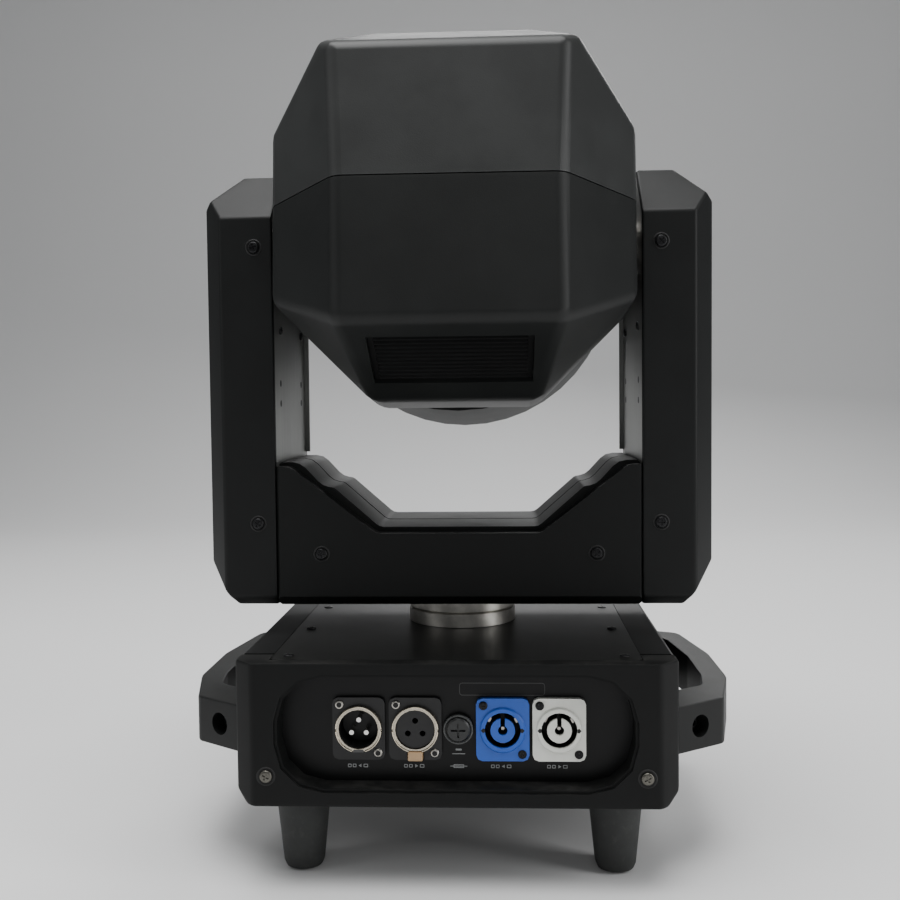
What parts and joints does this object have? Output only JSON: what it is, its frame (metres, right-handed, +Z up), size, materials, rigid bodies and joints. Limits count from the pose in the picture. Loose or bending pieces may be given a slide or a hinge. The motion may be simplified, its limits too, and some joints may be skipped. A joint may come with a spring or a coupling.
{
  "type": "moving head light",
  "caption": "Moving head wash light: rectangular base on feet with connectors, display and handles, a panning yoke with two arms, and a tilting faceted head with a round lens face.",
  "frame": {"origin": "centre of the base's underside, on the pan axis; the feet reach 42.5 mm below it", "axes": "+Z up along the pan axis; +X to the right when facing the connector side; +Y from the connector side towards the display side, where the lens points at rest"},
  "size_m": [0.292, 0.2419, 0.425],
  "materials": {
    "cover_plastic": "fine moulded texture, near black",
    "black_sheet": "satin black powder coat",
    "top_sheet": "satin charcoal powder coat",
    "structural_sheet": "satin grey coat",
    "bare_steel": "turned",
    "bare_aluminium": "milled",
    "motor_case": "satin black",
    "black_rubber": "matte",
    "screen_glass": "glossy dark window",
    "lens_glass": "clear moulded optics",
    "connector_shell": "dark satin plating",
    "moulded_black": "satin",
    "blue_plastic": "satin blue core",
    "white_plastic": "satin off-white core",
    "latch_metal": "dull tan",
    "circuit_board": "solder-masked board",
    "button_plastic": "satin grey"
  },
  "bodies": {
    "base": {"base_chassis": "black_sheet", "base_top_plate": "top_sheet", "base_rear_cover": "cover_plastic", "base_front_cover": "cover_plastic", "connector_panel": "black_sheet", "display_panel": "black_sheet", "display_screen": "screen_glass", "xlr_input_shell": "connector_shell", "xlr_input_insert": "moulded_black", "xlr_output_shell": "connector_shell", "xlr_output_insert": "moulded_black", "fuse_holder": "moulded_black", "power_inlet": "blue_plastic", "power_outlet": "white_plastic", "handle_left": "cover_plastic", "handle_right": "cover_plastic", "foot_rear_left": "black_rubber", "foot_rear_right": "black_rubber", "foot_front_left": "black_rubber", "foot_front_right": "black_rubber", "power_supply": "bare_aluminium", "control_board": "circuit_board", "pan_hub": "bare_steel", "pan_ring_pulley": "bare_aluminium"},
    "yoke": {"arm_cover_left": "cover_plastic", "arm_cover_right": "cover_plastic", "arm_plate_left": "structural_sheet", "arm_plate_right": "structural_sheet", "crossbar_cover_rear": "cover_plastic", "crossbar_cover_front": "cover_plastic", "yoke_base_plate": "structural_sheet", "pan_bearing": "bare_steel", "pan_motor": "motor_case", "pan_belt": "black_rubber", "tilt_motor": "motor_case", "tilt_belt": "black_rubber", "tilt_bearing_left": "bare_steel", "tilt_bearing_right": "bare_steel"},
    "head": {"head_cover_upper": "cover_plastic", "head_cover_lower": "cover_plastic", "head_grille": "cover_plastic", "head_drum": "cover_plastic", "front_bezel": "cover_plastic", "lens_cluster": "lens_glass", "led_board": "circuit_board", "heatsink": "bare_aluminium", "head_frame": "structural_sheet", "fan_frame": "moulded_black", "tilt_axle_left": "bare_steel", "tilt_axle_right": "bare_steel", "tilt_driven_pulley": "bare_aluminium"},
    "pan_drive_pulley": {"pan_drive_pulley": "bare_aluminium"},
    "tilt_drive_pulley": {"tilt_drive_pulley": "bare_aluminium"},
    "fan_rotor": {"fan_rotor": "moulded_black"},
    "fuse_cap": {"fuse_cap": "moulded_black"},
    "xlr_release_tab": {"xlr_release_tab": "latch_metal"},
    "menu_button_1": {"menu_button_1": "button_plastic"},
    "menu_button_2": {"menu_button_2": "button_plastic"},
    "menu_button_3": {"menu_button_3": "button_plastic"},
    "menu_button_4": {"menu_button_4": "button_plastic"}
  },
  "joints": [
    {"name": "pan", "type": "hinge", "parent": "base", "child": "yoke", "pos_m": [0, 0, 0.09], "axis": [0, 0, 1], "range_deg": [-270, 270]},
    {"name": "tilt", "type": "hinge", "parent": "yoke", "child": "head", "pos_m": [0, 0, 0.283], "axis": [1, 0, 0], "range_deg": [-39.5, 230.5]},
    {"name": "pan_drive", "type": "hinge", "parent": "yoke", "child": "pan_drive_pulley", "pos_m": [-0.074, 0, 0.1], "axis": [0, 0, 1], "continuous": true},
    {"name": "tilt_drive", "type": "hinge", "parent": "yoke", "child": "tilt_drive_pulley", "pos_m": [0.109, 0, 0.15], "axis": [1, 0, 0], "continuous": true},
    {"name": "fan_spin", "type": "hinge", "parent": "head", "child": "fan_rotor", "pos_m": [0, -0.05395, 0.28819], "axis": [0, 0.9954, -0.0958], "continuous": true},
    {"name": "fuse_turn", "type": "hinge", "parent": "base", "child": "fuse_cap", "pos_m": [0.0012, -0.097, 0.0355], "axis": [0, -1, 0], "range_deg": [0, 90]},
    {"name": "tab_press", "type": "slide", "parent": "base", "child": "xlr_release_tab", "axis": [0, 1, 0], "range_m": [0, 0.0015], "stiffness_N_per_m": 400, "springref_m": -0.0005},
    {"name": "button_1_press", "type": "slide", "parent": "base", "child": "menu_button_1", "axis": [0, -1, 0], "range_m": [0, 0.0012], "stiffness_N_per_m": 300, "springref_m": -0.0005},
    {"name": "button_2_press", "type": "slide", "parent": "base", "child": "menu_button_2", "axis": [0, -1, 0], "range_m": [0, 0.0012], "stiffness_N_per_m": 300, "springref_m": -0.0005},
    {"name": "button_3_press", "type": "slide", "parent": "base", "child": "menu_button_3", "axis": [0, -1, 0], "range_m": [0, 0.0012], "stiffness_N_per_m": 300, "springref_m": -0.0005},
    {"name": "button_4_press", "type": "slide", "parent": "base", "child": "menu_button_4", "axis": [0, -1, 0], "range_m": [0, 0.0012], "stiffness_N_per_m": 300, "springref_m": -0.0005}
  ],
  "couplings": [
    {"joint": "pan_drive", "follows": "pan", "ratio": -4},
    {"joint": "tilt_drive", "follows": "tilt", "ratio": 3}
  ]
}
